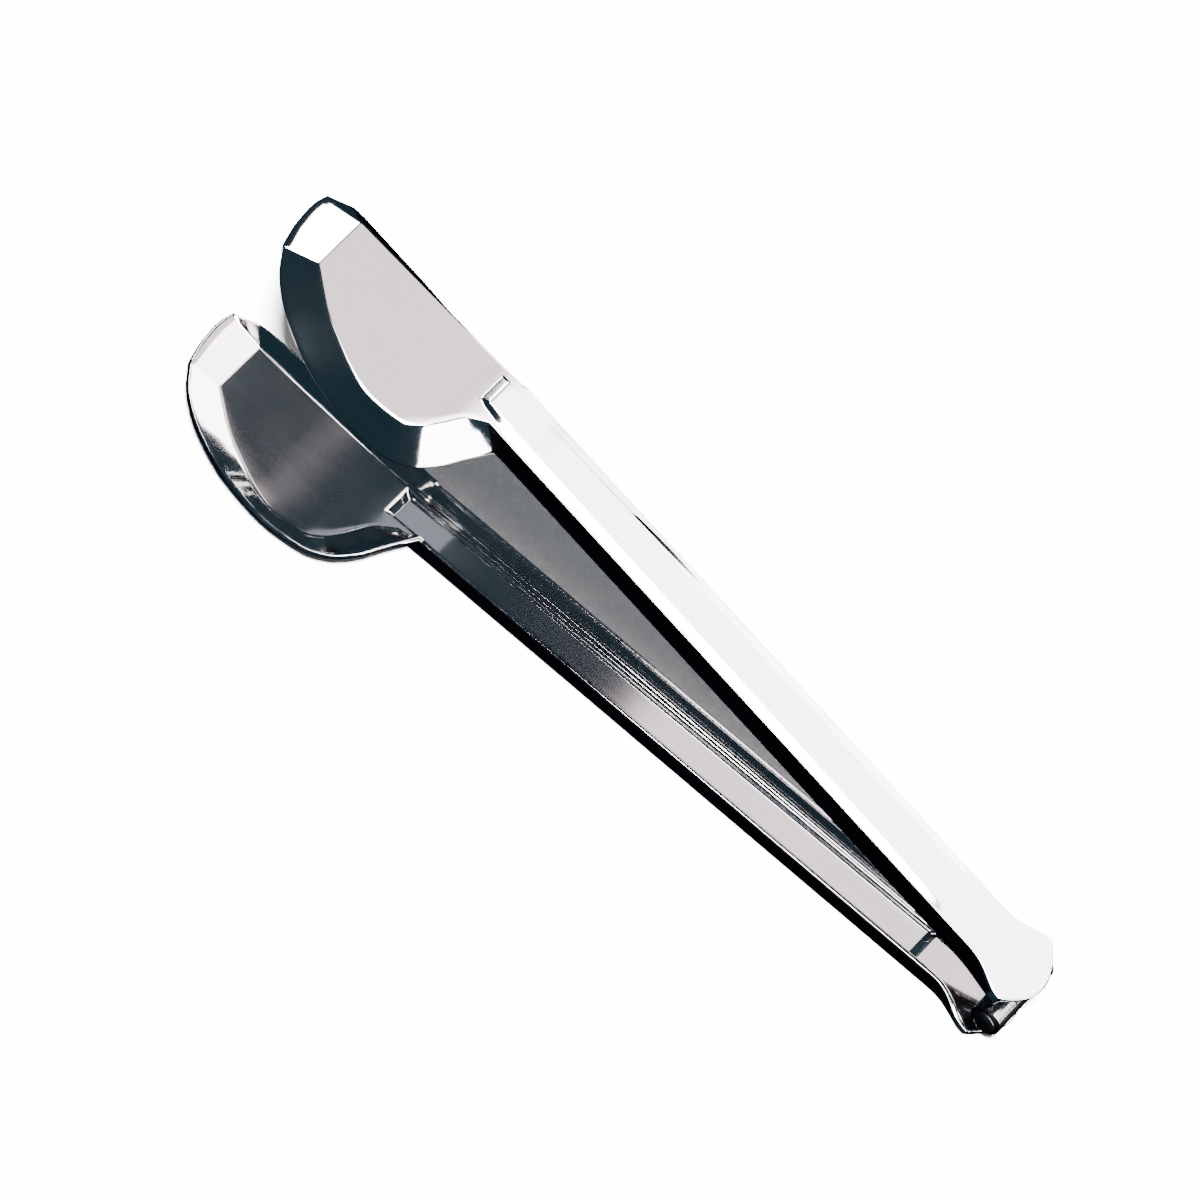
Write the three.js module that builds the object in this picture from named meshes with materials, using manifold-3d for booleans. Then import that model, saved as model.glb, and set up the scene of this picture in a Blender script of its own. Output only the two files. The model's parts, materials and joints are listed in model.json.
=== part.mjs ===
// Sprung ice tongs: two pressed sheet-steel arms joined by a barrel hinge with a torsion spring.
// Millimetres, +Z up. The jaws point along -X, the hinge is at +X, and the tongs lie open on their
// lower arm. Both arms are the same shape, mirrored, so one surface is worked out once.
//
// An arm is described in its own frame: x runs along it with 0 at the hinge axis and the jaw at
// negative x, y runs across it, and w is the depth measured outwards, away from the other arm.

import * as THREE from 'three';
import { mergeVertices } from 'three/addons/utils/BufferGeometryUtils.js';
import Module from 'manifold-3d';

const wasm = await Module();
wasm.setup();

// ---------------------------------------------------------------- driving dimensions

const SHEET = 0.9;              // thickness of the steel sheet
const OPEN_ANGLE = 14.6;        // degrees between the two arms when the spring holds them open
const TIP = -178;               // front edge of the jaw
const RIM_GAP = 3.3;            // height of an arm's rim over the hinge axis, at the hinge
const WALL = 4.1;               // depth of the handle's side walls
const RIM_HALF = 5.95;          // half the handle's width at its rims
const BASE_HALF = 5.45;         // half the handle's width at its base, less the walls' draft

const FRONT_CREASE = -170.4;    // where the front bevel meets the jaw's flat plate
const NECK = -131.6;            // where the jaw becomes the handle
const HANDLE_START = -124;      // where the handle's walls have become straight
const NECK_LEAN = 4.8;          // how far the rims run ahead of the base at the neck
const FAR_CORNER = -176.3;      // front end of the jaw's straight side
const FRONT_EDGE = [-9.1, 4.9]; // the front edge, from its near corner to its far one, along y
const RIDGE_START = -135.5;     // jaw end of the long raised panel
const RIDGE_END = -16.5;        // hinge end of the raised panel
const RIDGE_START_RISE = 0.8;   // height of the panel over the plate at the jaw
const RIDGE_END_RISE = 0.45;    // and at the hinge
const RIDGE_HALF_START = 3.0;   // half the panel's width at the jaw
const RIDGE_HALF_END = 3.6;     // and at the hinge
const RIDGE_SLOPE = 0.45;       // how far the panel's side walls lean out
const START_RAMP = 1.6;         // length of the panel's sloping end at the jaw
const END_RAMP = 1.6;           // and at the hinge

const FLARE_START = -13;        // where the handle starts to widen over the hinge barrel
const FLARE_END = -2;           // end of the flared corners
const FLARE_HALF = 8.4;         // half the width over the flared corners
const FLARE_EASE = 1.6;         // above 1 the flare starts more gently than it ends
const FLARE_INSET = 0.3;        // the base's flare stops this short of the half width
const FLARE_REACH = 0.5;        // and the edge's flare goes this far past it
const FLARE_WALL = 1.3;         // depth of what is left of the side walls on the flare
const END_BOW = 4.4;            // how far the middle of the end edge reaches past its corners
const END_DROOP = 0.8;          // how far the end edge curls towards the other arm

const BARREL_R = 3.0;           // hinge barrel: outer radius of the three knuckles
const BARREL_HALF = 8.2;        // half the barrel's length
const MID_HALF = 2.7;           // half the middle knuckle's length
const GAP = 0.3;                // clearance between neighbouring pieces
const PIN_R = 1.2;
const PIN_HEAD_R = 2.1;
const PIN_HEAD = 0.7;           // thickness of a pin head
const PIN_CROWN_R = 1.47;       // where the head's face starts to round off
const PIN_CROWN = 0.12;         // how much the head domes
const PIN_SIDE = 0.25;          // straight side of the head
const SPRING_BORE_R = 2.5;      // room for the spring inside the knuckles
const POCKET = 1.0;             // how far the spring's room goes into an outer knuckle
const LIP = 0.9;                // wall that closes the middle knuckle's far end
const WIRE_R = 0.25;
const COIL_R = 1.9;
const COIL_TURNS = 5;
const COIL_Y = [-2.1, 1.1];     // first and last turn, along y, so that the turns stay apart
const TANG_SHARE = 0.12;        // part of the wire, at its near end, that leads away from the turns
const TANG_REACH = 1.5;         // how far it leads, into the near knuckle
// Foot that joins a knuckle to its arm; root is just outside the spring's room.
const WEB = { x0: -2.3, x1: 0.1, root: 2.6, top: 5.4, half: 5.0 };
const ROUND_SIDES = 28;

// ---------------------------------------------------------------- materials

const steel = (color, roughness) => new THREE.MeshStandardMaterial({ color, roughness, metalness: 1 });
const POLISHED = steel(0xd9d6d5, 0.08);
const BARREL_STEEL = steel(0x8f959b, 0.2);
const PIN_STEEL = steel(0xa5a8ab, 0.25);
const SPRING_STEEL = steel(0x70757a, 0.35);

// ---------------------------------------------------------------- outlines

const lerp = (a, b, t) => a + (b - a) * t;
const clamp01 = (t) => Math.min(1, Math.max(0, t));
const smooth = (t) => clamp01(t) ** 2 * (3 - 2 * clamp01(t));

// A smooth curve through keys [t, value] that never overshoots them (monotone cubic).
function through(keys) {
  const slope = keys.slice(1).map(([t, v], i) => (v - keys[i][1]) / (t - keys[i][0]));
  const tangent = keys.map((_, i) => {
    if (i === 0) return slope[0];
    if (i === keys.length - 1) return slope[i - 1];
    const [before, after] = [slope[i - 1], slope[i]];
    return before * after <= 0 ? 0 : (2 * before * after) / (before + after);
  });
  return (t) => {
    let i = keys.findIndex(([key]) => key > t) - 1;
    if (i < 0) i = t < keys[0][0] ? 0 : keys.length - 2;
    const span = keys[i + 1][0] - keys[i][0];
    const s = clamp01((t - keys[i][0]) / span);
    const [s2, s3] = [s * s, s * s * s];
    return (2 * s3 - 3 * s2 + 1) * keys[i][1] + (s3 - 2 * s2 + s) * span * tangent[i]
      + (3 * s2 - 2 * s3) * keys[i + 1][1] + (s3 - s2) * span * tangent[i + 1];
  };
}

// Side of the jaw that bulges, followed from the front corner (0) to the neck (1).
const RIM_X = through([[0, -176.5], [0.09, -173.4], [0.22, -166.5], [0.38, -157], [0.53, -147.5],
  [0.67, -140], [0.77, -135.4], [0.86, -132.2], [0.94, -129.4], [1, -126.8]]);
const RIM_Y = through([[0, -9.1], [0.09, -13.6], [0.22, -18.9], [0.38, -22.7], [0.53, -24.1],
  [0.67, -23.3], [0.77, -20.9], [0.86, -17.0], [0.94, -11.2], [1, -6.2]]);
const CREASE_X = through([[0, -170.4], [0.22, -161.4], [0.53, -148.2], [0.67, -142.4], [0.77, -139],
  [0.86, -136.8], [0.94, -134.8], [1, NECK]]);
const CREASE_Y = through([[0, -7.6], [0.22, -14.4], [0.53, -19.2], [0.67, -18.4], [0.77, -15.8],
  [0.86, -12], [0.94, -8.2], [1, -BASE_HALF]]);
// The other side is nearly straight.
const FAR_RIM = through([[-177.3, 4.9], [-175.5, 6.6], [-170, 7.4], [-158, 7.4], [-142, 6.8],
  [-128, RIM_HALF]]);
const FAR_CREASE = through([[FRONT_CREASE, 4.6], [-150, 4.5], [-139, 4.6], [-128, BASE_HALF]]);
// The far rim starts part of the way from the corner to its crease and soon runs level with it.
const FAR_LEAN = (t) => clamp01(0.55 + t * 3);
// The front edge is a shallow arc.
const FRONT_X = through([[-9.1, -176.5], [-2.5, -177.8], [1.5, TIP], [4.9, -177.3]]);
// Depth of the jaw's plate, then of the handle's base, under the rim.
const PLATE_DEPTH = through([[FRONT_CREASE, 2.2], [-155, 3.3], [-142, 4.1], [-134, 4.3], [-124, WALL]]);

// Height of the rim over the line from the tip to the hinge axis.
const rim = (x) => RIM_GAP * clamp01(1 - x / TIP);

function ridgeRise(x) {
  const along = clamp01((x - RIDGE_START) / (RIDGE_END - RIDGE_START));
  const rise = lerp(RIDGE_START_RISE, RIDGE_END_RISE, along);
  const up = clamp01((x - RIDGE_START) / START_RAMP);
  const down = clamp01((RIDGE_END - x) / END_RAMP);
  return rise * Math.min(up, down);
}

// ---------------------------------------------------------------- the arm's outer surface

// One line of the jaw: near rim, crease, plate at one x, far crease, far rim.
function jawRow(t) {
  const x = CREASE_X(t);
  const depth = rim(x) + PLATE_DEPTH(x);
  const nearRim = [RIM_X(t), RIM_Y(t), rim(RIM_X(t))];
  const near = [x, CREASE_Y(t), depth];
  const farX = lerp(FAR_CORNER, x, FAR_LEAN(t));
  return row(nearRim, near, x, depth, [x, FAR_CREASE(x), depth], [farX, FAR_RIM(farX), rim(farX)]);
}

function handleRow(x) {
  const flare = smooth((x - FLARE_START) / (FLARE_END - FLARE_START)) ** FLARE_EASE;
  const depth = rim(x) + PLATE_DEPTH(x);
  const base = lerp(BASE_HALF, FLARE_HALF - FLARE_INSET, flare);
  const edge = lerp(RIM_HALF, FLARE_HALF + FLARE_REACH, flare);
  const rimDepth = lerp(rim(x), depth - FLARE_WALL, flare);
  const rimX = x + NECK_LEAN * clamp01((HANDLE_START - x) / (HANDLE_START - NECK));
  return row([rimX, -edge, rimDepth], [x, -base, depth], x, depth, [x, base, depth], [x, edge, rimDepth])
    .map(([px, y, w]) => {
      const inside = 1 - Math.min(1, (y / base) ** 2);
      return [px + END_BOW * inside * flare, y, w - END_DROOP * flare * (0.5 + 0.5 * inside)];
    });
}

// Columns: rim, wall, crease, panel foot, panel top, middle, panel top, panel foot, crease, wall, rim.
function row(nearRim, near, x, depth, far, farRim) {
  const along = clamp01((x - RIDGE_START) / (RIDGE_END - RIDGE_START));
  const half = lerp(RIDGE_HALF_START, RIDGE_HALF_END, along);
  const top = depth + ridgeRise(x);
  const mix = (a, b, t) => a.map((v, i) => lerp(v, b[i], t));
  return [nearRim, mix(nearRim, near, 0.5), near,
    [x, -half - RIDGE_SLOPE, depth], [x, -half, top], [x, 0, top],
    [x, half, top], [x, half + RIDGE_SLOPE, depth],
    far, mix(farRim, far, 0.5), farRim];
}

// The front edge, from the near corner to the far one.
function frontRow() {
  const [y0, y1] = FRONT_EDGE;
  const ys = [y0, y0 + 0.35, y0 + 0.8, -5, -4.2, 0, 2.6, 3.1, y1 - 0.8, y1 - 0.35, y1];
  return ys.map((y) => [FRONT_X(y), y, 0]);
}

const span = (from, to, count) => Array.from({ length: count }, (_, i) => lerp(from, to, i / (count - 1)));

// Rows lie closer together where the sheet turns sharply: round the bowl, at the neck, on the flare.
const JAW_ROWS = [0, 0.05, 0.12, 0.22, 0.3, 0.38, 0.46, 0.53, 0.6, 0.67, 0.72, 0.77, 0.82, 0.86,
  0.895, 0.9475, 1];
const outerRows = [
  frontRow(),
  ...JAW_ROWS.map(jawRow),
  ...span(-128.5, -122, 3).map(handleRow),
  ...span(-108, -30, 6).map(handleRow),
  ...[RIDGE_END - END_RAMP, RIDGE_END, FLARE_START].map(handleRow),
  ...span(-10.5, FLARE_END, 7).map(handleRow),
];

// ---------------------------------------------------------------- sheet with a thickness

// Direction square to the sheet at each grid point, from its neighbours, pointing outwards (+w).
function sheetNormals(rows) {
  const at = (i, j) => new THREE.Vector3(...rows[i][j]);
  return rows.map((line, i) => line.map((_, j) => {
    const sum = new THREE.Vector3();
    for (const [di, dj] of [[1, 1], [1, -1], [-1, 1], [-1, -1]]) {
      const [ii, jj] = [i + di, j + dj];
      if (!rows[ii] || jj < 0 || jj >= line.length) continue;
      const alongLength = at(ii, j).sub(at(i, j)).multiplyScalar(di);
      const across = at(i, jj).sub(at(i, j)).multiplyScalar(dj);
      sum.add(alongLength.cross(across).normalize());
    }
    return sum.normalize();
  }));
}

// Closed shell: the outer grid, the same grid set in by the sheet's thickness, and the cut edges.
function shell(rows, flip) {
  const normals = sheetNormals(rows);
  const [nu, nv] = [rows.length, rows[0].length];
  const outer = rows.flat();
  const inner = rows.flatMap((line, i) => line.map((p, j) => {
    const n = normals[i][j];
    return [p[0] - n.x * SHEET, p[1] - n.y * SHEET, p[2] - n.z * SHEET];
  }));
  const positions = [...outer, ...inner].flatMap(([x, y, w]) => [x, y, flip ? w : -w]);
  const index = [];
  const quad = (a, b, c, d) => index.push(...(flip ? [a, b, c, a, c, d] : [a, c, b, a, d, c]));
  const id = (i, j, layer) => layer * nu * nv + i * nv + j;
  for (let i = 0; i < nu - 1; i++) {
    for (let j = 0; j < nv - 1; j++) {
      quad(id(i, j, 0), id(i + 1, j, 0), id(i + 1, j + 1, 0), id(i, j + 1, 0));
      quad(id(i, j, 1), id(i, j + 1, 1), id(i + 1, j + 1, 1), id(i + 1, j, 1));
    }
    quad(id(i, 0, 1), id(i + 1, 0, 1), id(i + 1, 0, 0), id(i, 0, 0));
    quad(id(i, nv - 1, 0), id(i + 1, nv - 1, 0), id(i + 1, nv - 1, 1), id(i, nv - 1, 1));
  }
  for (let j = 0; j < nv - 1; j++) {
    quad(id(0, j, 0), id(0, j + 1, 0), id(0, j + 1, 1), id(0, j, 1));
    quad(id(nu - 1, j, 1), id(nu - 1, j + 1, 1), id(nu - 1, j + 1, 0), id(nu - 1, j, 0));
  }
  const geometry = new THREE.BufferGeometry();
  geometry.setAttribute('position', new THREE.Float32BufferAttribute(positions, 3));
  geometry.setIndex(index);
  return geometry;
}

// ---------------------------------------------------------------- hinge

function solid(geometry) {
  const bare = geometry.clone();
  bare.deleteAttribute('normal');
  bare.deleteAttribute('uv');
  const merged = mergeVertices(bare, 1e-4);
  return new wasm.Manifold(new wasm.Mesh({
    numProp: 3,
    vertProperties: new Float32Array(merged.attributes.position.array),
    triVerts: new Uint32Array(merged.index.array),
  }));
}

function fromSolid(manifold) {
  const mesh = manifold.getMesh();
  const geometry = new THREE.BufferGeometry();
  geometry.setAttribute('position', new THREE.BufferAttribute(mesh.vertProperties, 3));
  geometry.setIndex(new THREE.BufferAttribute(mesh.triVerts, 1));
  return geometry;
}

// A ring about the Y axis: closed [radius, y] profile.
const ring = (profile) => new THREE.LatheGeometry(
  [...profile, profile[0]].map(([r, y]) => new THREE.Vector2(r, y)), ROUND_SIDES);

// A knuckle: a tube about the pin with a foot that reaches its arm. side is +1 for a foot upwards.
function knuckle(profile, y0, y1, side) {
  const tube = solid(ring(profile));
  const [low, high] = [Math.max(y0, -WEB.half), Math.min(y1, WEB.half)];
  const box = new THREE.BoxGeometry(WEB.x1 - WEB.x0, high - low, WEB.top - WEB.root);
  box.translate((WEB.x0 + WEB.x1) / 2, (low + high) / 2, side * (WEB.top + WEB.root) / 2);
  return fromSolid(tube.add(solid(box)));
}

function lowerKnuckle(side) {
  const [inside, outside] = [side * (MID_HALF + GAP), side * BARREL_HALF];
  const pocket = inside + side * POCKET;
  const profile = [[PIN_R + GAP, outside], [PIN_R + GAP, pocket], [SPRING_BORE_R, pocket],
    [SPRING_BORE_R, inside], [BARREL_R, inside], [BARREL_R, outside]];
  if (side < 0) profile.reverse();
  return knuckle(profile, Math.min(inside, outside), Math.max(inside, outside), -1);
}

function upperKnuckle() {
  const lip = MID_HALF - LIP;
  return knuckle([[BARREL_R, -MID_HALF], [BARREL_R, MID_HALF], [PIN_R + GAP, MID_HALF], [PIN_R + GAP, lip],
    [SPRING_BORE_R, lip], [SPRING_BORE_R, -MID_HALF]], -MID_HALF, MID_HALF, 1);
}

function hingePin() {
  const end = BARREL_HALF + GAP;
  const head = end + PIN_HEAD;
  const half = [[PIN_R, end], [PIN_HEAD_R, end], [PIN_HEAD_R, end + PIN_SIDE],
    [PIN_CROWN_R, head - PIN_CROWN], [0, head]];
  const other = half.map(([r, y]) => [r, -y]).reverse();
  return new THREE.LatheGeometry([...other, ...half].map(([r, y]) => new THREE.Vector2(r, y)), ROUND_SIDES);
}

// The spring's wire: close turns round the pin, the first of which leads into the near knuckle.
class SpringWire extends THREE.Curve {
  getPoint(t, target = new THREE.Vector3()) {
    const angle = t * COIL_TURNS * 2 * Math.PI;
    const lead = TANG_REACH * Math.max(0, 1 - t / TANG_SHARE) ** 2;
    return target.set(COIL_R * Math.cos(angle), lerp(...COIL_Y, t) - lead, COIL_R * Math.sin(angle));
  }
}

function torsionSpring() {
  const section = new THREE.Shape();
  section.absarc(0, 0, WIRE_R, 0, 2 * Math.PI);
  return new THREE.ExtrudeGeometry(section, { extrudePath: new SpringWire(), steps: COIL_TURNS * 13,
    curveSegments: 4, bevelEnabled: false });
}

// ---------------------------------------------------------------- assembly

const mesh = (name, geometry, material) => {
  const piece = new THREE.Mesh(geometry, material);
  piece.name = name;
  return piece;
};

// The lower arm lies on its raised panel, so the whole lower half is turned to bring that panel level.
const ridgeDepth = (x) => rim(x) + PLATE_DEPTH(x) + ridgeRise(x);
const [RIDGE_A, RIDGE_B] = [RIDGE_START + START_RAMP, RIDGE_END - END_RAMP];
const LOWER_TILT = Math.atan2(ridgeDepth(RIDGE_B) - ridgeDepth(RIDGE_A), RIDGE_B - RIDGE_A);

const lower = new THREE.Group();
lower.add(
  mesh('lower_arm', shell(outerRows, false), POLISHED),
  mesh('near_knuckle', lowerKnuckle(-1), BARREL_STEEL),
  mesh('far_knuckle', lowerKnuckle(1), BARREL_STEEL),
  mesh('hinge_pin', hingePin(), PIN_STEEL),
  mesh('torsion_spring', torsionSpring(), SPRING_STEEL),
);
lower.rotation.y = -LOWER_TILT;

const upper = new THREE.Group();
upper.add(
  mesh('upper_arm', shell(outerRows, true), POLISHED),
  mesh('upper_knuckle', upperKnuckle(), BARREL_STEEL),
);
upper.rotation.y = THREE.MathUtils.degToRad(OPEN_ANGLE) - LOWER_TILT;

// Origin at the middle of the bottom of the whole object's box.
const tongs = new THREE.Group();
tongs.add(lower, upper);
const box = new THREE.Box3().setFromObject(tongs, true);
const centre = box.getCenter(new THREE.Vector3());
tongs.position.set(-centre.x, -centre.y, -box.min.z);

export default tongs;
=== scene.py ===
# %% [markdown]
# # Sprung ice tongs
#
# The tongs are two arms pressed from thin stainless steel and polished to a mirror. Each arm is a
# shallow D-shaped bowl on a channel-shaped handle with a long raised panel. A short barrel across
# the hinge end holds a pin and a torsion spring. The fixed frame comes from the CAD model. This
# scene replaces the two coarse arms with finely rounded sheet metal, finishes the hinge pieces,
# and lights everything as mirror-polished steel needs: with large pale panels in dark surroundings.

# %% Load the fixed frame
import json
from math import cos, radians, sin

import bpy
import numpy as np
from mathutils import Matrix, Vector


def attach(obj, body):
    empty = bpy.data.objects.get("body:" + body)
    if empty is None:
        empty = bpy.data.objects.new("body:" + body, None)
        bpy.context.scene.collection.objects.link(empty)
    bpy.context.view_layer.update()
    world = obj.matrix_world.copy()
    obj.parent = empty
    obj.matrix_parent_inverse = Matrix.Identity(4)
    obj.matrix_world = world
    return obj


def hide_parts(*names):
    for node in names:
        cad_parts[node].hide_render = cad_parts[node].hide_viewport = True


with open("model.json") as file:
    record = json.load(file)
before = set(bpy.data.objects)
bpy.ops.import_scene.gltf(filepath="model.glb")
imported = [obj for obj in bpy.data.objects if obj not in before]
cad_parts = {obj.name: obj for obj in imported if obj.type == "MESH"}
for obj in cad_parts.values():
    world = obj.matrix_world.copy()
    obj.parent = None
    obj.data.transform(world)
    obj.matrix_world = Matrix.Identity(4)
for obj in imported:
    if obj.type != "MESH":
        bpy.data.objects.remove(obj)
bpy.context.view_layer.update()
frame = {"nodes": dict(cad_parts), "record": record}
MM = 0.001

joint = frame["record"]["behaviour"]["joints"][0]
HINGE = np.array(joint["pos_m"])

# %% [markdown]
# ## Place the camera
#
# A product picture of a long, thin tool is taken from far away with a long lens, so its near and
# far ends keep the same scale. The camera stands on the side where the jaws bulge, looks down at
# about 54 degrees, and is rolled until the tool lies across the frame's diagonal. Its aim is a
# point between the arms, given from the hinge.

# %% Camera
CAMERA_AZIMUTH = -11.6          # degrees, 0 looks along +Y
CAMERA_ELEVATION = 54.2
CAMERA_ROLL = 30.65             # clockwise turn of the picture
CAMERA_DISTANCE = 2.2           # metres
FIELD = 0.203                   # width of what the frame shows at the aim point, metres
SENSOR = 36.0
AIM = HINGE + np.array([-95.36, -1.57, 12.23]) * MM


def view_axes(azimuth, elevation, roll):
    """Right, up and forward directions of a camera turned by azimuth, elevation and roll, in degrees."""
    az, el, turn = radians(azimuth), radians(elevation), radians(roll)
    forward = np.array([sin(az) * cos(el), cos(az) * cos(el), -sin(el)])
    level = np.array([cos(az), -sin(az), 0.0])
    upright = np.cross(level, forward)
    right = cos(turn) * level + sin(turn) * upright
    up = -sin(turn) * level + cos(turn) * upright
    return right, up, forward


def add_camera():
    """A long-lens camera that looks at AIM along the forward direction of view_axes."""
    right, up, forward = view_axes(CAMERA_AZIMUTH, CAMERA_ELEVATION, CAMERA_ROLL)
    data = bpy.data.cameras.new("camera")
    data.sensor_width = SENSOR
    data.lens = SENSOR * CAMERA_DISTANCE / FIELD
    data.clip_end = 20.0
    camera = bpy.data.objects.new("camera", data)
    rotation = Matrix(np.stack([right, up, -forward], axis=1).tolist()).to_4x4()
    rotation.translation = (AIM - forward * CAMERA_DISTANCE).tolist()
    camera.matrix_world = rotation
    bpy.context.collection.objects.link(camera)
    bpy.context.scene.camera = camera
    return camera


camera = add_camera()
print("camera lens", round(camera.data.lens, 1), "mm")

# %% [markdown]
# ## Dimensions of an arm
#
# An arm is described in its own frame, in millimetres: x runs along it with 0 at the hinge axis
# and the jaw at negative x, y runs across it, and w is the depth away from the other arm. The two
# arms are mirror images, so one description makes both. The values are those of the CAD model,
# except that the end edge curls in less here (END_DROOP).

# %% Driving dimensions, millimetres
SHEET = 0.9
OPEN_ANGLE = 14.6
TIP = -178.0
RIM_GAP, WALL, RIM_HALF, BASE_HALF = 3.3, 4.1, 5.95, 5.45
FRONT_CREASE, NECK = -170.4, -131.6
RIDGE_START, RIDGE_END = -135.5, -16.5
RIDGE_START_RISE, RIDGE_END_RISE = 0.8, 0.45
RIDGE_HALF_START, RIDGE_HALF_END, RIDGE_SLOPE = 3.0, 3.6, 0.45
START_RAMP, END_RAMP = 1.6, 1.6
HANDLE_START, NECK_LEAN, FAR_CORNER = -124.0, 4.8, -176.3
FLARE_START, FLARE_END, FLARE_HALF = -13.0, -2.0, 8.4
FLARE_EASE, FLARE_INSET, FLARE_REACH, FLARE_WALL = 1.6, 0.3, 0.5, 1.3
END_BOW, END_DROOP = 4.4, 0.3


def through(keys):
    """Smooth curve through keys (t, value) that never overshoots: a monotone cubic.

    The slope at an inner key is the harmonic mean of the slopes on its two sides, or 0 where they
    differ in sign, and each span is the Hermite cubic of its two values and two slopes.
    """
    t, v = np.array(keys, float).T
    chord = np.diff(v) / np.diff(t)
    tangent = np.concatenate([chord[:1], np.zeros(len(t) - 2), chord[-1:]])
    before, after = chord[:-1], chord[1:]
    same = before * after > 0
    tangent[1:-1][same] = (2 * before * after)[same] / (before + after)[same]

    def curve(at):
        at = np.asarray(at, float)
        i = np.clip(np.searchsorted(t, at, side="right") - 1, 0, len(t) - 2)
        span = t[i + 1] - t[i]
        s = np.clip((at - t[i]) / span, 0, 1)
        return ((2 * s**3 - 3 * s**2 + 1) * v[i] + (s**3 - 2 * s**2 + s) * span * tangent[i]
                + (3 * s**2 - 2 * s**3) * v[i + 1] + (s**3 - s**2) * span * tangent[i + 1])
    return curve


def lerp(a, b, t):
    """Straight mix of a and b: a where t is 0, b where t is 1."""
    return a + (b - a) * t


# %% [markdown]
# ## Outline of the jaw
#
# Seen from above the jaw is a D. One side is nearly straight and runs on into the handle. The
# other bulges out and comes back round behind the bowl. Four outlines hold this: the rim and the
# crease of the flat plate on the bulging side, each as x and y over one parameter, and the same
# two on the straight side, each as y over x. Two more curves give the front edge and the depth.

# %% Outline curves
rim_x = through([(0, -176.5), (0.09, -173.4), (0.22, -166.5), (0.38, -157), (0.53, -147.5),
                 (0.67, -140), (0.77, -135.4), (0.86, -132.2), (0.94, -129.4), (1, -126.8)])
rim_y = through([(0, -9.1), (0.09, -13.6), (0.22, -18.9), (0.38, -22.7), (0.53, -24.1),
                 (0.67, -23.3), (0.77, -20.9), (0.86, -17.0), (0.94, -11.2), (1, -6.2)])
crease_x = through([(0, -170.4), (0.22, -161.4), (0.53, -148.2), (0.67, -142.4), (0.77, -139),
                    (0.86, -136.8), (0.94, -134.8), (1, NECK)])
crease_y = through([(0, -7.6), (0.22, -14.4), (0.53, -19.2), (0.67, -18.4), (0.77, -15.8),
                    (0.86, -12), (0.94, -8.2), (1, -BASE_HALF)])
far_rim = through([(-177.3, 4.9), (-175.5, 6.6), (-170, 7.4), (-158, 7.4), (-142, 6.8), (-128, RIM_HALF)])
far_crease = through([(FRONT_CREASE, 4.6), (-150, 4.5), (-139, 4.6), (-128, BASE_HALF)])
front_x = through([(-9.1, -176.5), (-2.5, -177.8), (1.5, TIP), (4.9, -177.3)])
plate_depth = through([(FRONT_CREASE, 2.2), (-155, 3.3), (-142, 4.1), (-134, 4.3), (-124, WALL)])


def rim(x):
    """Height of the rim over the hinge axis: a straight line from 0 at the tip to RIM_GAP at x = 0."""
    return RIM_GAP * np.clip(1 - x / TIP, 0, 1)


def along_panel(x):
    """0 at the jaw end of the raised panel, 1 at its hinge end."""
    return np.clip((x - RIDGE_START) / (RIDGE_END - RIDGE_START), 0, 1)


def ramps(x):
    """1 along the raised panel, 0 beyond it, with a straight ramp at each end."""
    up = np.clip((x - RIDGE_START) / START_RAMP, 0, 1)
    down = np.clip((RIDGE_END - x) / END_RAMP, 0, 1)
    return np.minimum(up, down)


def ridge_rise(x):
    """Height of the raised panel: a straight taper along it, with a short ramp at each end."""
    return lerp(RIDGE_START_RISE, RIDGE_END_RISE, along_panel(x)) * ramps(x)


print("jaw width", round(float(far_rim(-150) - rim_y(0.53)), 1), "mm, panel rise",
      ridge_rise(np.array([-120.0, -30.0])).round(2), "mm")

# %% [markdown]
# ## Rows across an arm
#
# A press tool bends the sheet along a few lines, so a cross-section needs only eleven corners:
# rim, wall, crease, foot and top of the panel, its middle, and the same again on the other side.
# Every row gives these corners for one place along the arm. Worked out for hundreds of places at
# once, the rows are an array of shape (rows, corners, 3).

# %% Section corners
# How far the panel's sides spread on the outside, and where it fades out there.
NEAR_FOOT = through([[RIDGE_START, 0.6], [-127, 1.9], [RIDGE_END, 1.7]])
FAR_FOOT = through([[RIDGE_START, 0.4], [-112, 0.5], [-92, 1.7], [RIDGE_END, 1.7]])
FADE_START, FADE_END = -34.0, -7.0


def section(near_rim, near, x, depth, far, outer_rim, crisp):
    """Eleven corners of a row from its rims, creases and the depth of the plate at x.

    The punch leaves a crisp panel on the inside. On the outside the same panel is softer: its sides
    spread over the rest of the plate and it fades out towards the hinge.
    """
    along = along_panel(x)
    half = lerp(RIDGE_HALF_START, RIDGE_HALF_END, along)
    rise = ridge_rise(x)
    near_foot = far_foot = RIDGE_SLOPE
    if not crisp:
        near_foot, far_foot = NEAR_FOOT(x), FAR_FOOT(x)
        soft_end = lerp(RIDGE_START_RISE, RIDGE_END_RISE, along) * (FADE_END - x) / (FADE_END - FADE_START)
        rise = np.where(x > FADE_START, np.maximum(soft_end, 0), rise)
    top = depth + rise

    def at(y, w):
        return np.stack([x, y + 0 * x, w], axis=-1)

    return np.stack([near_rim, (near_rim + near) / 2, near, at(-half - near_foot, depth),
                     at(-half, top), at(0.0, top), at(half, top), at(half + far_foot, depth),
                     far, (far + outer_rim) / 2, outer_rim], axis=1)


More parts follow.
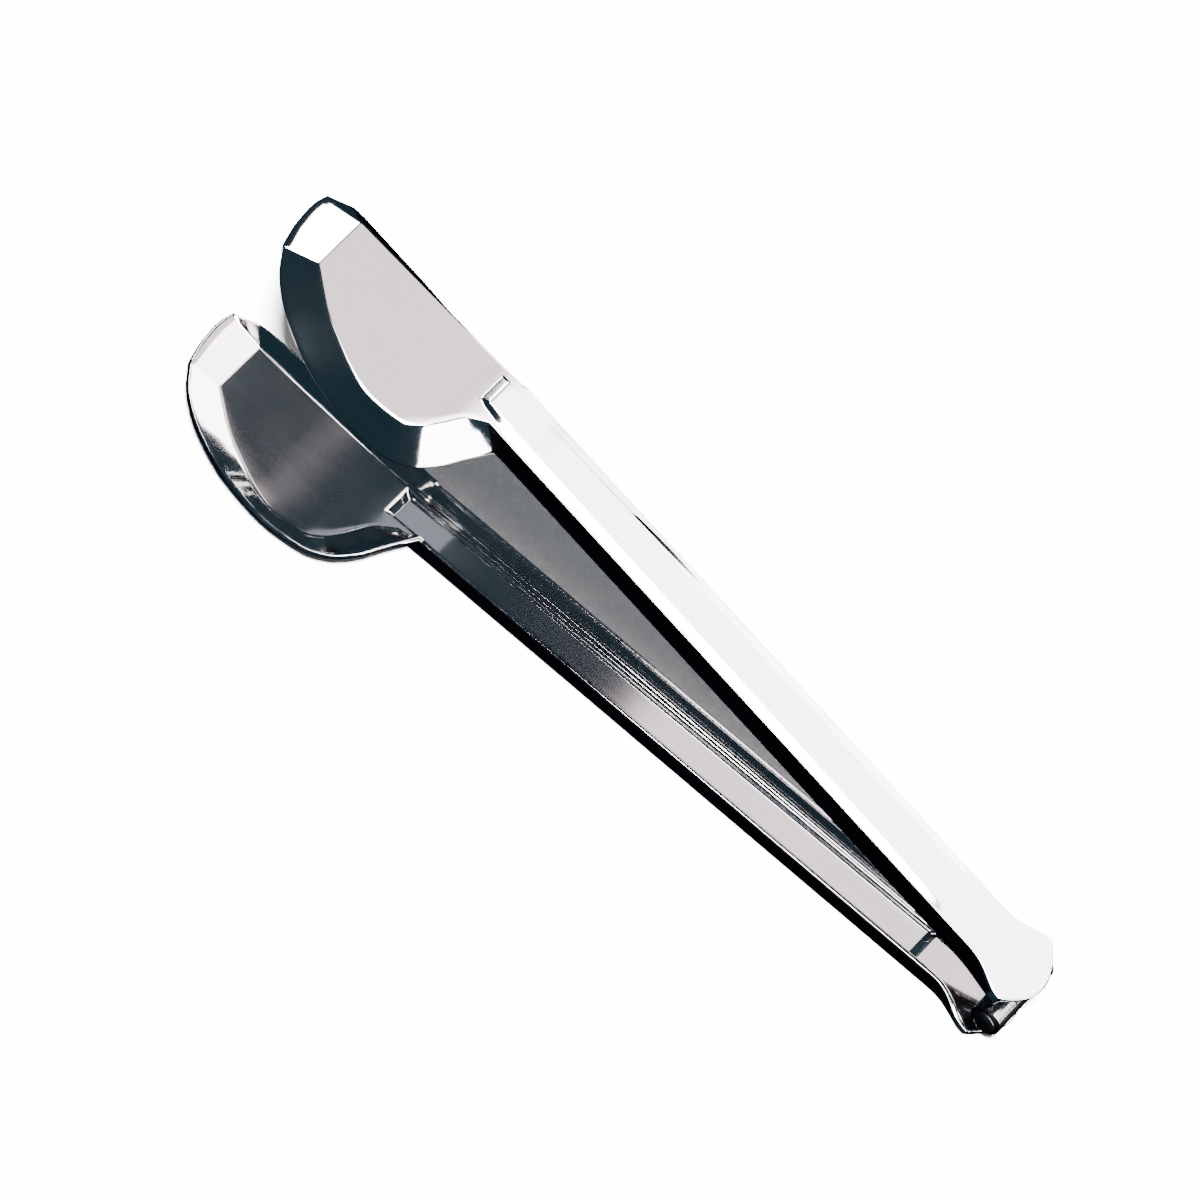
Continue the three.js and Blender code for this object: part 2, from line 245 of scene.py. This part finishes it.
def jaw_rows(t, crisp):
    """Rows of the jaw for t from 0, at the front crease, to 1, at the neck.

    The far rim starts part of the way from the front corner to its crease and soon runs level with it.
    """
    x = crease_x(t)
    depth = rim(x) + plate_depth(x)
    outer_x = lerp(FAR_CORNER, x, np.clip(0.55 + t * 3, 0, 1))
    near_rim = np.stack([rim_x(t), rim_y(t), rim(rim_x(t))], -1)
    near = np.stack([x, crease_y(t), depth], -1)
    far = np.stack([x, far_crease(x), depth], -1)
    outer_rim = np.stack([outer_x, far_rim(outer_x), rim(outer_x)], -1)
    return section(near_rim, near, x, depth, far, outer_rim, crisp)


def flare_at(x):
    """How far the flare has opened: 0 on the straight handle, 1 at its end, with an eased start."""
    s = np.clip((x - FLARE_START) / (FLARE_END - FLARE_START), 0, 1)
    return (s * s * (3 - 2 * s)) ** FLARE_EASE


def handle_rows(x, crisp):
    """Rows of the handle: a straight channel that flares over the hinge barrel."""
    flare = flare_at(x)
    depth = rim(x) + plate_depth(x)
    base = lerp(BASE_HALF, FLARE_HALF - FLARE_INSET, flare)
    edge = lerp(RIM_HALF, FLARE_HALF + FLARE_REACH, flare)
    edge_depth = lerp(rim(x), depth - FLARE_WALL, flare)
    edge_x = x + NECK_LEAN * np.clip((HANDLE_START - x) / (HANDLE_START - NECK), 0, 1)
    return section(np.stack([edge_x, -edge, edge_depth], -1), np.stack([x, -base, depth], -1), x, depth,
                   np.stack([x, base, depth], -1), np.stack([x, edge, edge_depth], -1), crisp)


def bow_out(points):
    """Bends the straight end edge into an arc that reaches past its corners and curls inwards.

    Across the base the reach is END_BOW * (1 - (y / half width)^2), scaled by how far the flare has
    opened; the curl is END_DROOP in the middle and half as much at the corners.
    """
    flare = flare_at(points[..., 0])
    half = lerp(BASE_HALF, FLARE_HALF - FLARE_INSET, flare)
    inside = 1 - np.minimum(1, (points[..., 1] / half) ** 2)
    out = points.copy()
    out[..., 0] += END_BOW * inside * flare
    out[..., 2] -= END_DROOP * flare * (0.5 + 0.5 * inside)
    return out


def front_row():
    """The front edge of the jaw, a shallow arc from the near corner to the far one."""
    y = np.array([-9.1, -8.75, -8.3, -5, -4.2, 0, 2.6, 3.1, 4.1, 4.55, 4.9])
    return np.stack([front_x(y), y, 0 * y], -1)[None]


# %% [markdown]
# ## Rows along an arm
#
# Rows are packed closely where the metal turns sharply along its length, at the front crease and at
# the two ends of the raised panel, and lie further apart where it is straight.

# %% Spacing
def arm_rows(crisp):
    """All the rows from the front edge to the end over the hinge, with the front crease softened."""
    front, first = front_row(), jaw_rows(np.array([0.0]), crisp)
    bevel = np.array([0, 0.2, 0.4, 0.6, 0.75, 0.86, 0.91, 0.94, 0.96, 0.98])[:, None, None]
    jaw_t = np.concatenate([np.arange(0, 0.02, 0.0035), np.arange(0.02, 0.86, 0.01),
                            np.linspace(0.86, 1, 60)])
    handle_x = np.concatenate([np.arange(NECK + 0.25, -120, 0.35), np.arange(-120, -20, 2.5),
                               np.linspace(-19, -15.5, 30), np.linspace(-15, FLARE_END, 40)])
    rows = np.concatenate([lerp(front, first, bevel), jaw_rows(jaw_t, crisp), handle_rows(handle_x, crisp)])
    for _ in range(2):
        rows[1:-1] = (rows[:-2] + 2 * rows[1:-1] + rows[2:]) / 4
    return rows


outer, press = arm_rows(False), arm_rows(True)
print("arm rows", outer.shape)

# %% [markdown]
# ## Give the sheet its thickness
#
# The inside of a pressed sheet follows the outside at a constant distance. Each corner moves in
# along its mitre: the sum of the directions square to the two faces that meet there, divided by
# one plus the cosine between them, which keeps both faces exactly one sheet away.

# %% Inner corners
def unit(v):
    """Vectors scaled to length 1."""
    return v / np.maximum(np.linalg.norm(v, axis=-1, keepdims=True), 1e-9)


NUDGE = np.array([0.002, 0, 0])


def set_in(rows, thickness):
    """Corners moved to the inner face of the sheet, by the mitre of their neighbouring faces.

    NUDGE gives a direction to corners that stay in one place over several rows.
    """
    along = unit(np.gradient(rows, axis=0) + NUDGE)
    across = unit(np.diff(rows, axis=1))
    face = unit(np.cross(lerp(along[:, :-1], along[:, 1:], 0.5), across))
    face *= np.sign(face[..., 2:].mean(axis=1, keepdims=True))
    before = np.concatenate([face[:, :1], face], axis=1)
    after = np.concatenate([face, face[:, -1:]], axis=1)
    mitre = (before + after) / np.maximum(1 + (before * after).sum(-1, keepdims=True), 0.5)
    return rows - thickness * mitre


RECESS_START, RECESS_END = 0.9, 0.68
PANEL_CORNERS = [4, 5, 6]
PANEL_MIDDLE = 5


def deepen_recess(inner_rows, x):
    """Sets the depth of the recess inside the panel, which the press coins a little deeper."""
    along = along_panel(x)
    extra = lerp(RECESS_START, RECESS_END, along) - lerp(RIDGE_START_RISE, RIDGE_END_RISE, along)
    deeper = inner_rows.copy()
    deeper[:, PANEL_CORNERS, 2] += (extra * ramps(x))[:, None]
    return deeper


inner = deepen_recess(set_in(press, SHEET), press[:, PANEL_MIDDLE, 0])
thickness = np.linalg.norm(outer - inner, axis=-1)
print("corner thickness from", thickness.min().round(2), "to", thickness.max().round(2), "mm")

# %% [markdown]
# ## Round every bend
#
# Bent sheet has a radius at each fold, and mirror polish shows it as a bright or dark line. A row's
# outer and inner corners join into one closed loop, and each corner is replaced by a short curve
# that starts a little before it and ends a little after it. A quadratic Bezier curve does this
# for all rows at once.

# %% Rounded loops
OUTER_RADII = [0.28, 0.9, 0.5, 0.25, 0.3, 0.5, 0.3, 0.25, 0.5, 0.9, 0.28]
INNER_RADII = [0.28, 0.9, 0.6, 0.35, 0.3, 0.5, 0.3, 0.35, 0.6, 0.9, 0.28]
BEZIER_STEPS = np.array([0, 0.25, 0.5, 0.75, 1.0])
STRAIGHT_STEPS = np.array([0.25, 0.5, 0.75])
LONGEST_BEND = 0.42
END_RADIUS = 0.25
PER_CORNER = len(BEZIER_STEPS) + len(STRAIGHT_STEPS)


def rounded_loops(outer_rows, inner_rows):
    """Closed loops (rows, points, 3) whose corners are quadratic Bezier curves.

    At a corner K with neighbours P and N the curve runs from A, on the way to P, through the pull
    of K, to B, on the way to N: (1-s)^2 A + 2 s (1-s) K + s^2 B.
    """
    corners = np.concatenate([outer_rows, inner_rows[:, ::-1]], axis=1)
    radii = np.array(OUTER_RADII + INNER_RADII[::-1])[None, :, None]
    points = []
    for step in (1, -1):
        toward = np.roll(corners, step, axis=1) - corners
        length = np.maximum(np.linalg.norm(toward, axis=-1, keepdims=True), 1e-6)
        points.append(corners + toward * np.minimum(radii / length, LONGEST_BEND))
    start, end = points
    s = BEZIER_STEPS[None, None, :, None]
    curve = (1 - s) ** 2 * start[:, :, None] + 2 * s * (1 - s) * corners[:, :, None] + s**2 * end[:, :, None]
    share = STRAIGHT_STEPS[None, None, :, None]
    straight = lerp(end[:, :, None], np.roll(start, -1, axis=1)[:, :, None], share)
    loops = np.concatenate([curve, straight], axis=2)
    return loops.reshape(len(corners), -1, 3)


def partner(j, count):
    """The point of a loop that faces point j from the other side of the sheet."""
    return (count - PER_CORNER + len(BEZIER_STEPS) - 1 - j) % count


def rounded_ends(loops, radius):
    """Extra rows past both ends that draw the loop in to its middle line on a quarter circle."""
    count = loops.shape[1]
    middle = (loops + loops[:, partner(np.arange(count), count)]) / 2
    extra = []
    for end, beside in ((0, 1), (-1, -2)):
        outward = unit((middle[end] - middle[beside]).mean(axis=0))
        angles = np.radians([30, 60, 82])[:, None, None]
        half_sheet = loops[end] - middle[end]
        extra.append(middle[end] + half_sheet * np.cos(angles) + outward * radius * np.sin(angles))
    return np.concatenate([extra[0][::-1], loops, extra[1]])


# %% [markdown]
# ## Turn loops into a mesh
#
# Neighbouring loops are joined by four-sided faces. The two ends close with faces that bridge the
# loop's outer half to its inner half, so the sheet is one closed solid.

# %% Mesh helpers
def mesh_object(name, points, faces, body):
    """A smooth-shaded object from points in metres and faces, riding on a body."""
    mesh = bpy.data.meshes.new(name)
    mesh.from_pydata(points.tolist(), [], faces)
    mesh.validate()
    mesh.shade_smooth()
    piece = bpy.data.objects.new(name, mesh)
    bpy.context.collection.objects.link(piece)
    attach(piece, body)
    print(name, "has", len(mesh.polygons), "faces")
    return piece


def loft_faces(rows, columns):
    """Quads of a closed loft, plus strips that zip each end loop shut."""
    i, j = np.meshgrid(np.arange(rows - 1), np.arange(columns), indexing="ij")
    k = (j + 1) % columns
    quads = np.stack([i * columns + j, i * columns + k, (i + 1) * columns + k, (i + 1) * columns + j], -1)
    half = columns // 2
    a = np.arange(-1, half - 3)
    cap = np.stack([a % columns, partner(a, columns), partner(a + 1, columns), a + 1], -1).tolist()
    cap += [[half - 3, half - 1, half - 2], [columns - 3, columns - 1, columns - 2]]
    last = (rows - 1) * columns
    return quads.reshape(-1, 4).tolist() + cap + [[last + k for k in face[::-1]] for face in cap]


def arm_to_row(points, side, angle):
    """Arm frame to the row's frame: w up or down, turn about the hinge by angle, move to the hinge."""
    x, y, w = np.moveaxis(points, -1, 0)
    z = side * w
    turned = np.stack([x * cos(angle) + z * sin(angle), y, -x * sin(angle) + z * cos(angle)], -1)
    return turned * MM + HINGE


def panel_depth(x):
    """Depth of the raised panel's top over the hinge axis."""
    return float(rim(x) + plate_depth(x) + ridge_rise(np.array([x]))[0])


PANEL_A, PANEL_B = RIDGE_START + START_RAMP, RIDGE_END - END_RAMP
LOWER_TILT = np.arctan2(panel_depth(PANEL_B) - panel_depth(PANEL_A), PANEL_B - PANEL_A)
print("lower arm tilt", round(float(np.degrees(LOWER_TILT)), 2), "degrees")

# %% Make both arms
loops = rounded_ends(bow_out(rounded_loops(outer, inner)), END_RADIUS)


def make_arm(name, node, body, side, angle):
    """One arm from the shared loops; the mirrored arm has its faces wound the other way."""
    faces = loft_faces(*loops.shape[:2])
    if side < 0:
        faces = [face[::-1] for face in faces]
    piece = mesh_object(name, arm_to_row(loops, side, angle).reshape(-1, 3), faces, body)
    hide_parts(node)
    return piece


lower_arm = make_arm("lower_arm_sheet", "lower_arm", "lower", -1, -LOWER_TILT)
upper_arm = make_arm("upper_arm_sheet", "upper_arm", "upper", 1, radians(OPEN_ANGLE) - LOWER_TILT)

# %% [markdown]
# ## Shader maths as expressions
#
# A material is a formula. A small class wraps a socket so that the formula reads as one: adding two
# wrapped sockets puts down a Math node, and so on.

# %% Wrapper class
class Maths:
    """A node socket whose operators add Math nodes to its tree."""

    def __init__(self, tree, socket):
        self.tree, self.socket = tree, socket

    def node(self, kind, settings=None, inputs=None, out=0):
        """Any node: its type, its settings, which are set first, and the values or links of its sockets."""
        made = self.tree.nodes.new(kind)
        for key, value in (settings or {}).items():
            setattr(made, key, value)
        for key, value in (inputs or {}).items():
            if isinstance(value, Maths):
                self.tree.links.new(value.socket, made.inputs[key])
            else:
                made.inputs[key].default_value = value
        return Maths(self.tree, made.outputs[out])

    def _maths(self, operation, *values):
        return self.node("ShaderNodeMath", {"operation": operation}, dict(enumerate(values)))

    def __add__(self, other):
        return self._maths("ADD", self, other)

    def __mul__(self, other):
        return self._maths("MULTIPLY", self, other)

    __radd__ = __add__
    __rmul__ = __mul__


def new_material(name):
    """An empty material, its Principled shader and a Maths on the object coordinates."""
    material = bpy.data.materials.new(name)
    material.use_nodes = True
    tree = material.node_tree
    shader = tree.nodes["Principled BSDF"]
    place = tree.nodes.new("ShaderNodeTexCoord")
    return material, tree, shader, Maths(tree, place.outputs["Object"])


def link(tree, value, socket):
    """Joins a Maths value to a shader's socket."""
    tree.links.new(value.socket, socket)


# %% [markdown]
# ## Mirror-polished steel
#
# Polished steel is a mirror with three small faults. The polishing wheel leaves very fine lines along
# the arm, the pressed sheet is never quite flat, and fingers and cloths leave faint cloudy areas
# that blur the reflection a little. The lines go into roughness and a slight bump, the waviness is
# a wide soft bump, and the clouds change only roughness and, barely, the tint.

# %% Polished steel
STEEL_COLOUR = (0.80, 0.785, 0.785, 1.0)
STEEL_SHADE = (0.70, 0.70, 0.71, 1.0)
MIRROR_ROUGHNESS, CLOUD_ROUGHNESS, LINE_ROUGHNESS = 0.045, 0.05, 0.015
LINE_HEIGHT = 0.004                 # of the polishing lines, against 1 for the waviness


def polished_steel():
    """Mirror steel with lengthwise polishing lines, sheet waviness and faint clouds."""
    material, tree, shader, place = new_material("polished_steel")
    stretched = place.node("ShaderNodeMapping", {}, {"Vector": place, "Scale": (40.0, 1100.0, 1100.0)})
    lines = place.node("ShaderNodeTexNoise", {}, {"Vector": stretched, "Scale": 1.0, "Detail": 2.0})
    clouds = place.node("ShaderNodeTexNoise", {}, {"Vector": place, "Scale": 55.0, "Detail": 3.0})
    wave = place.node("ShaderNodeTexNoise", {}, {"Vector": place, "Scale": 38.0, "Detail": 0.0})
    tint = place.node("ShaderNodeMix", {"data_type": "RGBA"}, {0: clouds * 0.5, 6: STEEL_COLOUR,
                                                              7: STEEL_SHADE}, out=2)
    link(tree, tint, shader.inputs["Base Color"])
    rough = MIRROR_ROUGHNESS + clouds * CLOUD_ROUGHNESS + lines * LINE_ROUGHNESS
    link(tree, rough, shader.inputs["Roughness"])
    height = lines * LINE_HEIGHT + wave
    bump = place.node("ShaderNodeBump", {}, {"Strength": 0.06, "Distance": 0.0002, "Height": height})
    link(tree, bump, shader.inputs["Normal"])
    shader.inputs["Metallic"].default_value = 1.0
    return material


# %% [markdown]
# ## Turned and drawn steel
#
# The knuckles and the pin are turned on a lathe, which leaves rings round the hinge axis: a noise
# squeezed along Y and stretched across it. The spring's wire is drawn through a die, so it is
# duller and a little darker.

# %% Hinge steels
def turned_steel(name, colour, rough, ring_scale):
    """Steel with fine rings round the Y axis, from noise that changes quickly along Y only."""
    material, tree, shader, place = new_material(name)
    squeezed = place.node("ShaderNodeMapping", {}, {"Vector": place, "Scale": (120.0, ring_scale, 120.0)})
    rings = place.node("ShaderNodeTexNoise", {}, {"Vector": squeezed, "Scale": 1.0, "Detail": 3.0})
    dark = tuple(0.72 * c for c in colour[:3]) + (1.0,)
    tint = place.node("ShaderNodeMix", {"data_type": "RGBA"}, {0: rings, 6: colour, 7: dark}, out=2)
    link(tree, tint, shader.inputs["Base Color"])
    link(tree, rough + rings * 0.12, shader.inputs["Roughness"])
    bump = place.node("ShaderNodeBump", {}, {"Strength": 0.15, "Distance": 0.0001, "Height": rings})
    link(tree, bump, shader.inputs["Normal"])
    shader.inputs["Metallic"].default_value = 1.0
    return material


MATERIALS = {
    "polished_steel": polished_steel(),
    "barrel_steel": turned_steel("barrel_steel", (0.42, 0.44, 0.46, 1.0), 0.12, 4200.0),
    "pin_steel": turned_steel("pin_steel", (0.60, 0.61, 0.62, 1.0), 0.18, 3000.0),
    "spring_steel": turned_steel("spring_steel", (0.42, 0.43, 0.45, 1.0), 0.28, 1500.0),
}
for arm in (lower_arm, upper_arm):
    arm.data.materials.append(MATERIALS["polished_steel"])
slots = {part["node"]: part["material_slot"] for part in frame["record"]["subparts"]}
for node, solid in frame["nodes"].items():
    if node in ("lower_arm", "upper_arm"):
        continue
    solid.data.materials.clear()
    solid.data.materials.append(MATERIALS[slots[node]])
print("materials:", sorted(MATERIALS))

# %% [markdown]
# ## Floor and surroundings
#
# Mirror steel shows its surroundings rather than a colour of its own. The world is dark slate, so
# every face that sees nothing bright goes nearly black. The floor is white, but it is left out of
# reflections, and a black sheet just under it keeps the walls that face down dark.

# %% Stage helpers
def emitter(name, colour, strength):
    """A plain glowing material."""
    material = bpy.data.materials.new(name)
    material.use_nodes = True
    tree = material.node_tree
    tree.nodes.clear()
    glow = tree.nodes.new("ShaderNodeEmission")
    glow.inputs["Color"].default_value = (*colour, 1.0)
    glow.inputs["Strength"].default_value = strength
    output = tree.nodes.new("ShaderNodeOutputMaterial")
    tree.links.new(glow.outputs[0], output.inputs[0])
    return material


def stage_quad(name, centre, across, up, material, glossy=True, camera_sees=False):
    """A flat rectangle of the stage from its centre and two half-edge vectors, metres."""
    centre, across, up = (np.array(v, float) for v in (centre, across, up))
    corners = [centre - across - up, centre + across - up, centre + across + up, centre - across + up]
    return stage_card(name, corners, material, glossy, camera_sees)


def stage_card(name, corners, material, glossy, camera_sees):
    """A flat four-cornered piece of the stage; one the camera sees also takes and casts shadows."""
    mesh = bpy.data.meshes.new(name)
    mesh.from_pydata([np.array(c, float).tolist() for c in corners], [], [(0, 1, 2, 3)])
    mesh.materials.append(material)
    quad = bpy.data.objects.new(name, mesh)
    bpy.context.collection.objects.link(quad)
    quad.visible_camera = camera_sees
    quad.visible_glossy = glossy
    quad.visible_diffuse = camera_sees
    quad.visible_shadow = camera_sees
    return quad


# %% Floor and world
FLOOR_HEIGHT = -0.0003          # metres, just under the tongs so that no two faces share a plane
STAGE_HALF = 3                  # metres, half the floor's side

floor_material = bpy.data.materials.new("floor_white")
floor_material.use_nodes = True
floor_shader = floor_material.node_tree.nodes["Principled BSDF"]
floor_shader.inputs["Base Color"].default_value = (0.93, 0.93, 0.93, 1.0)
floor_shader.inputs["Roughness"].default_value = 0.9
stage_quad("floor", (0, 0, FLOOR_HEIGHT), (STAGE_HALF, 0, 0), (0, STAGE_HALF, 0), floor_material,
           glossy=False, camera_sees=True)

world = bpy.data.worlds.new("slate_room")
bpy.context.scene.world = world
world.use_nodes = True
world.node_tree.nodes["Background"].inputs["Color"].default_value = (0.014, 0.034, 0.048, 1.0)
world.node_tree.nodes["Background"].inputs["Strength"].default_value = 1.0

# %% [markdown]
# ## Panels that the steel shows
#
# Each bright face has a pale glowing panel, placed where a mirror with that face's direction would
# show it. A panel's edge is an edge in the reflection, so its limits say where a face stops being
# bright. A nearer panel hides a farther one, so the panels that share a direction stand clear.

# %% Panel helpers
def reflected(normal):
    """Direction that a flat mirror with this normal shows to the camera."""
    forward = view_axes(CAMERA_AZIMUTH, CAMERA_ELEVATION, CAMERA_ROLL)[2]
    normal = np.array(normal, float) / np.linalg.norm(normal)
    return forward - 2 * (forward @ normal) * normal


def panel(name, normal, point, distance, along, across, colour, strength):
    """A glowing rectangle that a mirror with this normal, at a point of the tongs, shows.

    along and across are the panel's limits, in metres, from the mirrored point: along runs as near
    to +X as the panel allows and across is square to it, on the side of +Y.
    """
    out = reflected(normal)
    run = unit(np.array([1.0, 0, 0]) - out[0] * out)
    side = np.cross(out, run)
    centre = point + out * distance + run * sum(along) / 2 + side * sum(across) / 2
    return stage_quad(name, centre, run * (along[1] - along[0]) / 2, side * (across[1] - across[0]) / 2,
                      emitter(name, colour, strength))


def upper_normal(x, y, w):
    """Direction in the upper arm's frame, turned into the row's frame."""
    tilt = radians(OPEN_ANGLE) - LOWER_TILT
    return np.array([x * cos(tilt) + w * sin(tilt), y, -x * sin(tilt) + w * cos(tilt)])


def leaning(degrees):
    """Upper arm normal of a face that leans towards -Y by an angle."""
    return upper_normal(0, -sin(radians(degrees)), cos(radians(degrees)))


# %% Panels
# Each has a name, the normal and the point it is mirrored in, its distance, its limits along and
# across, its colour and its strength.
WHITE, WARM, COOL = (1, 1, 1), (1.0, 0.87, 0.89), (0.80, 0.85, 1.0)
FAR_PANEL = 1.2
JAW_SPLIT, NECK_SPLIT = -0.125, -0.085
panel("handle_panel", leaning(0), AIM, FAR_PANEL, (NECK_SPLIT, 0.40), (-0.30, 0.42), WARM, 9.0)
panel("middle_panel", leaning(0), AIM, FAR_PANEL, (JAW_SPLIT, NECK_SPLIT), (-0.30, 0.42), WARM, 4.0)
panel("plate_panel", leaning(0), AIM, FAR_PANEL, (-0.40, JAW_SPLIT), (-0.30, 0.42), WARM, 2.0)
panel("near_slope_panel", leaning(19), AIM, 0.8, (-0.35, 0.35), (-0.19, 0.30), WHITE, 22.0)
panel("far_slope_panel", leaning(-15), AIM, 0.8, (-0.12, 0.30), (-0.18, 0.16), WARM, 12.0)
jaw_point = HINGE + np.array([-175, -2, 43]) * MM
FRONT_LEAN = radians(17)
panel("front_panel", upper_normal(-sin(FRONT_LEAN), 0, cos(FRONT_LEAN)), jaw_point, 0.3, (-0.05, 0.022),
      (-0.05, 0.05), WHITE, 22.0)
neck_point = HINGE + np.array([-130, -12, 36]) * MM
panel("neck_panel", upper_normal(0.5, -0.24, 0.83), neck_point, 0.5, (-0.12, 0.12),
      (-0.16, 0.16), WHITE, 16.0)
lower_point = HINGE + np.array([-75, 0, -6]) * MM
panel("lower_panel", [0, 0, 1], lower_point, 0.5, (0.0, 0.085), (-0.12, 0.16), WARM, 2.2)
bowl_point = HINGE + np.array([-152, -8, -4]) * MM
panel("bowl_sheen", [0, 0, 1], bowl_point, 0.5, (-0.012, 0.020), (-0.06, 0.09), COOL, 0.45)
stage_quad("dark_below", (0, 0, -0.001), (STAGE_HALF, 0, 0), (0, STAGE_HALF, 0),
           emitter("dark_below", (0.002, 0.002, 0.004), 1.0))

# %% Flag
# A flag the camera does not see shades the floor between the arms. Its shade has hard edges, which
# the two arms cover from the camera's side but not from every other.
FLAG_HEIGHT = 0.0004
flag_corners = [(HINGE[0] + x * MM, HINGE[1] + y * MM, FLAG_HEIGHT)
                for x, y in ((-22, 3), (-142, 3), (-142, 32), (-22, 7))]
flag = stage_card("flag", flag_corners, floor_material, False, False)
flag.visible_shadow = True

# %% Lights for the floor
def sun(name, azimuth, elevation, strength, angle):
    """A sun that lights the floor but does not show in the steel."""
    data = bpy.data.lights.new(name, "SUN")
    data.energy = strength
    data.angle = radians(angle)
    lamp = bpy.data.objects.new(name, data)
    forward = Vector(view_axes(azimuth, elevation, 0)[2].tolist())
    lamp.rotation_euler = forward.to_track_quat("-Z", "Y").to_euler()
    lamp.visible_glossy = False
    bpy.context.collection.objects.link(lamp)
    return lamp


sun("front_sun", azimuth=-10, elevation=62, strength=60.0, angle=6)
sun("top_sun", azimuth=0, elevation=90, strength=0.3, angle=40)
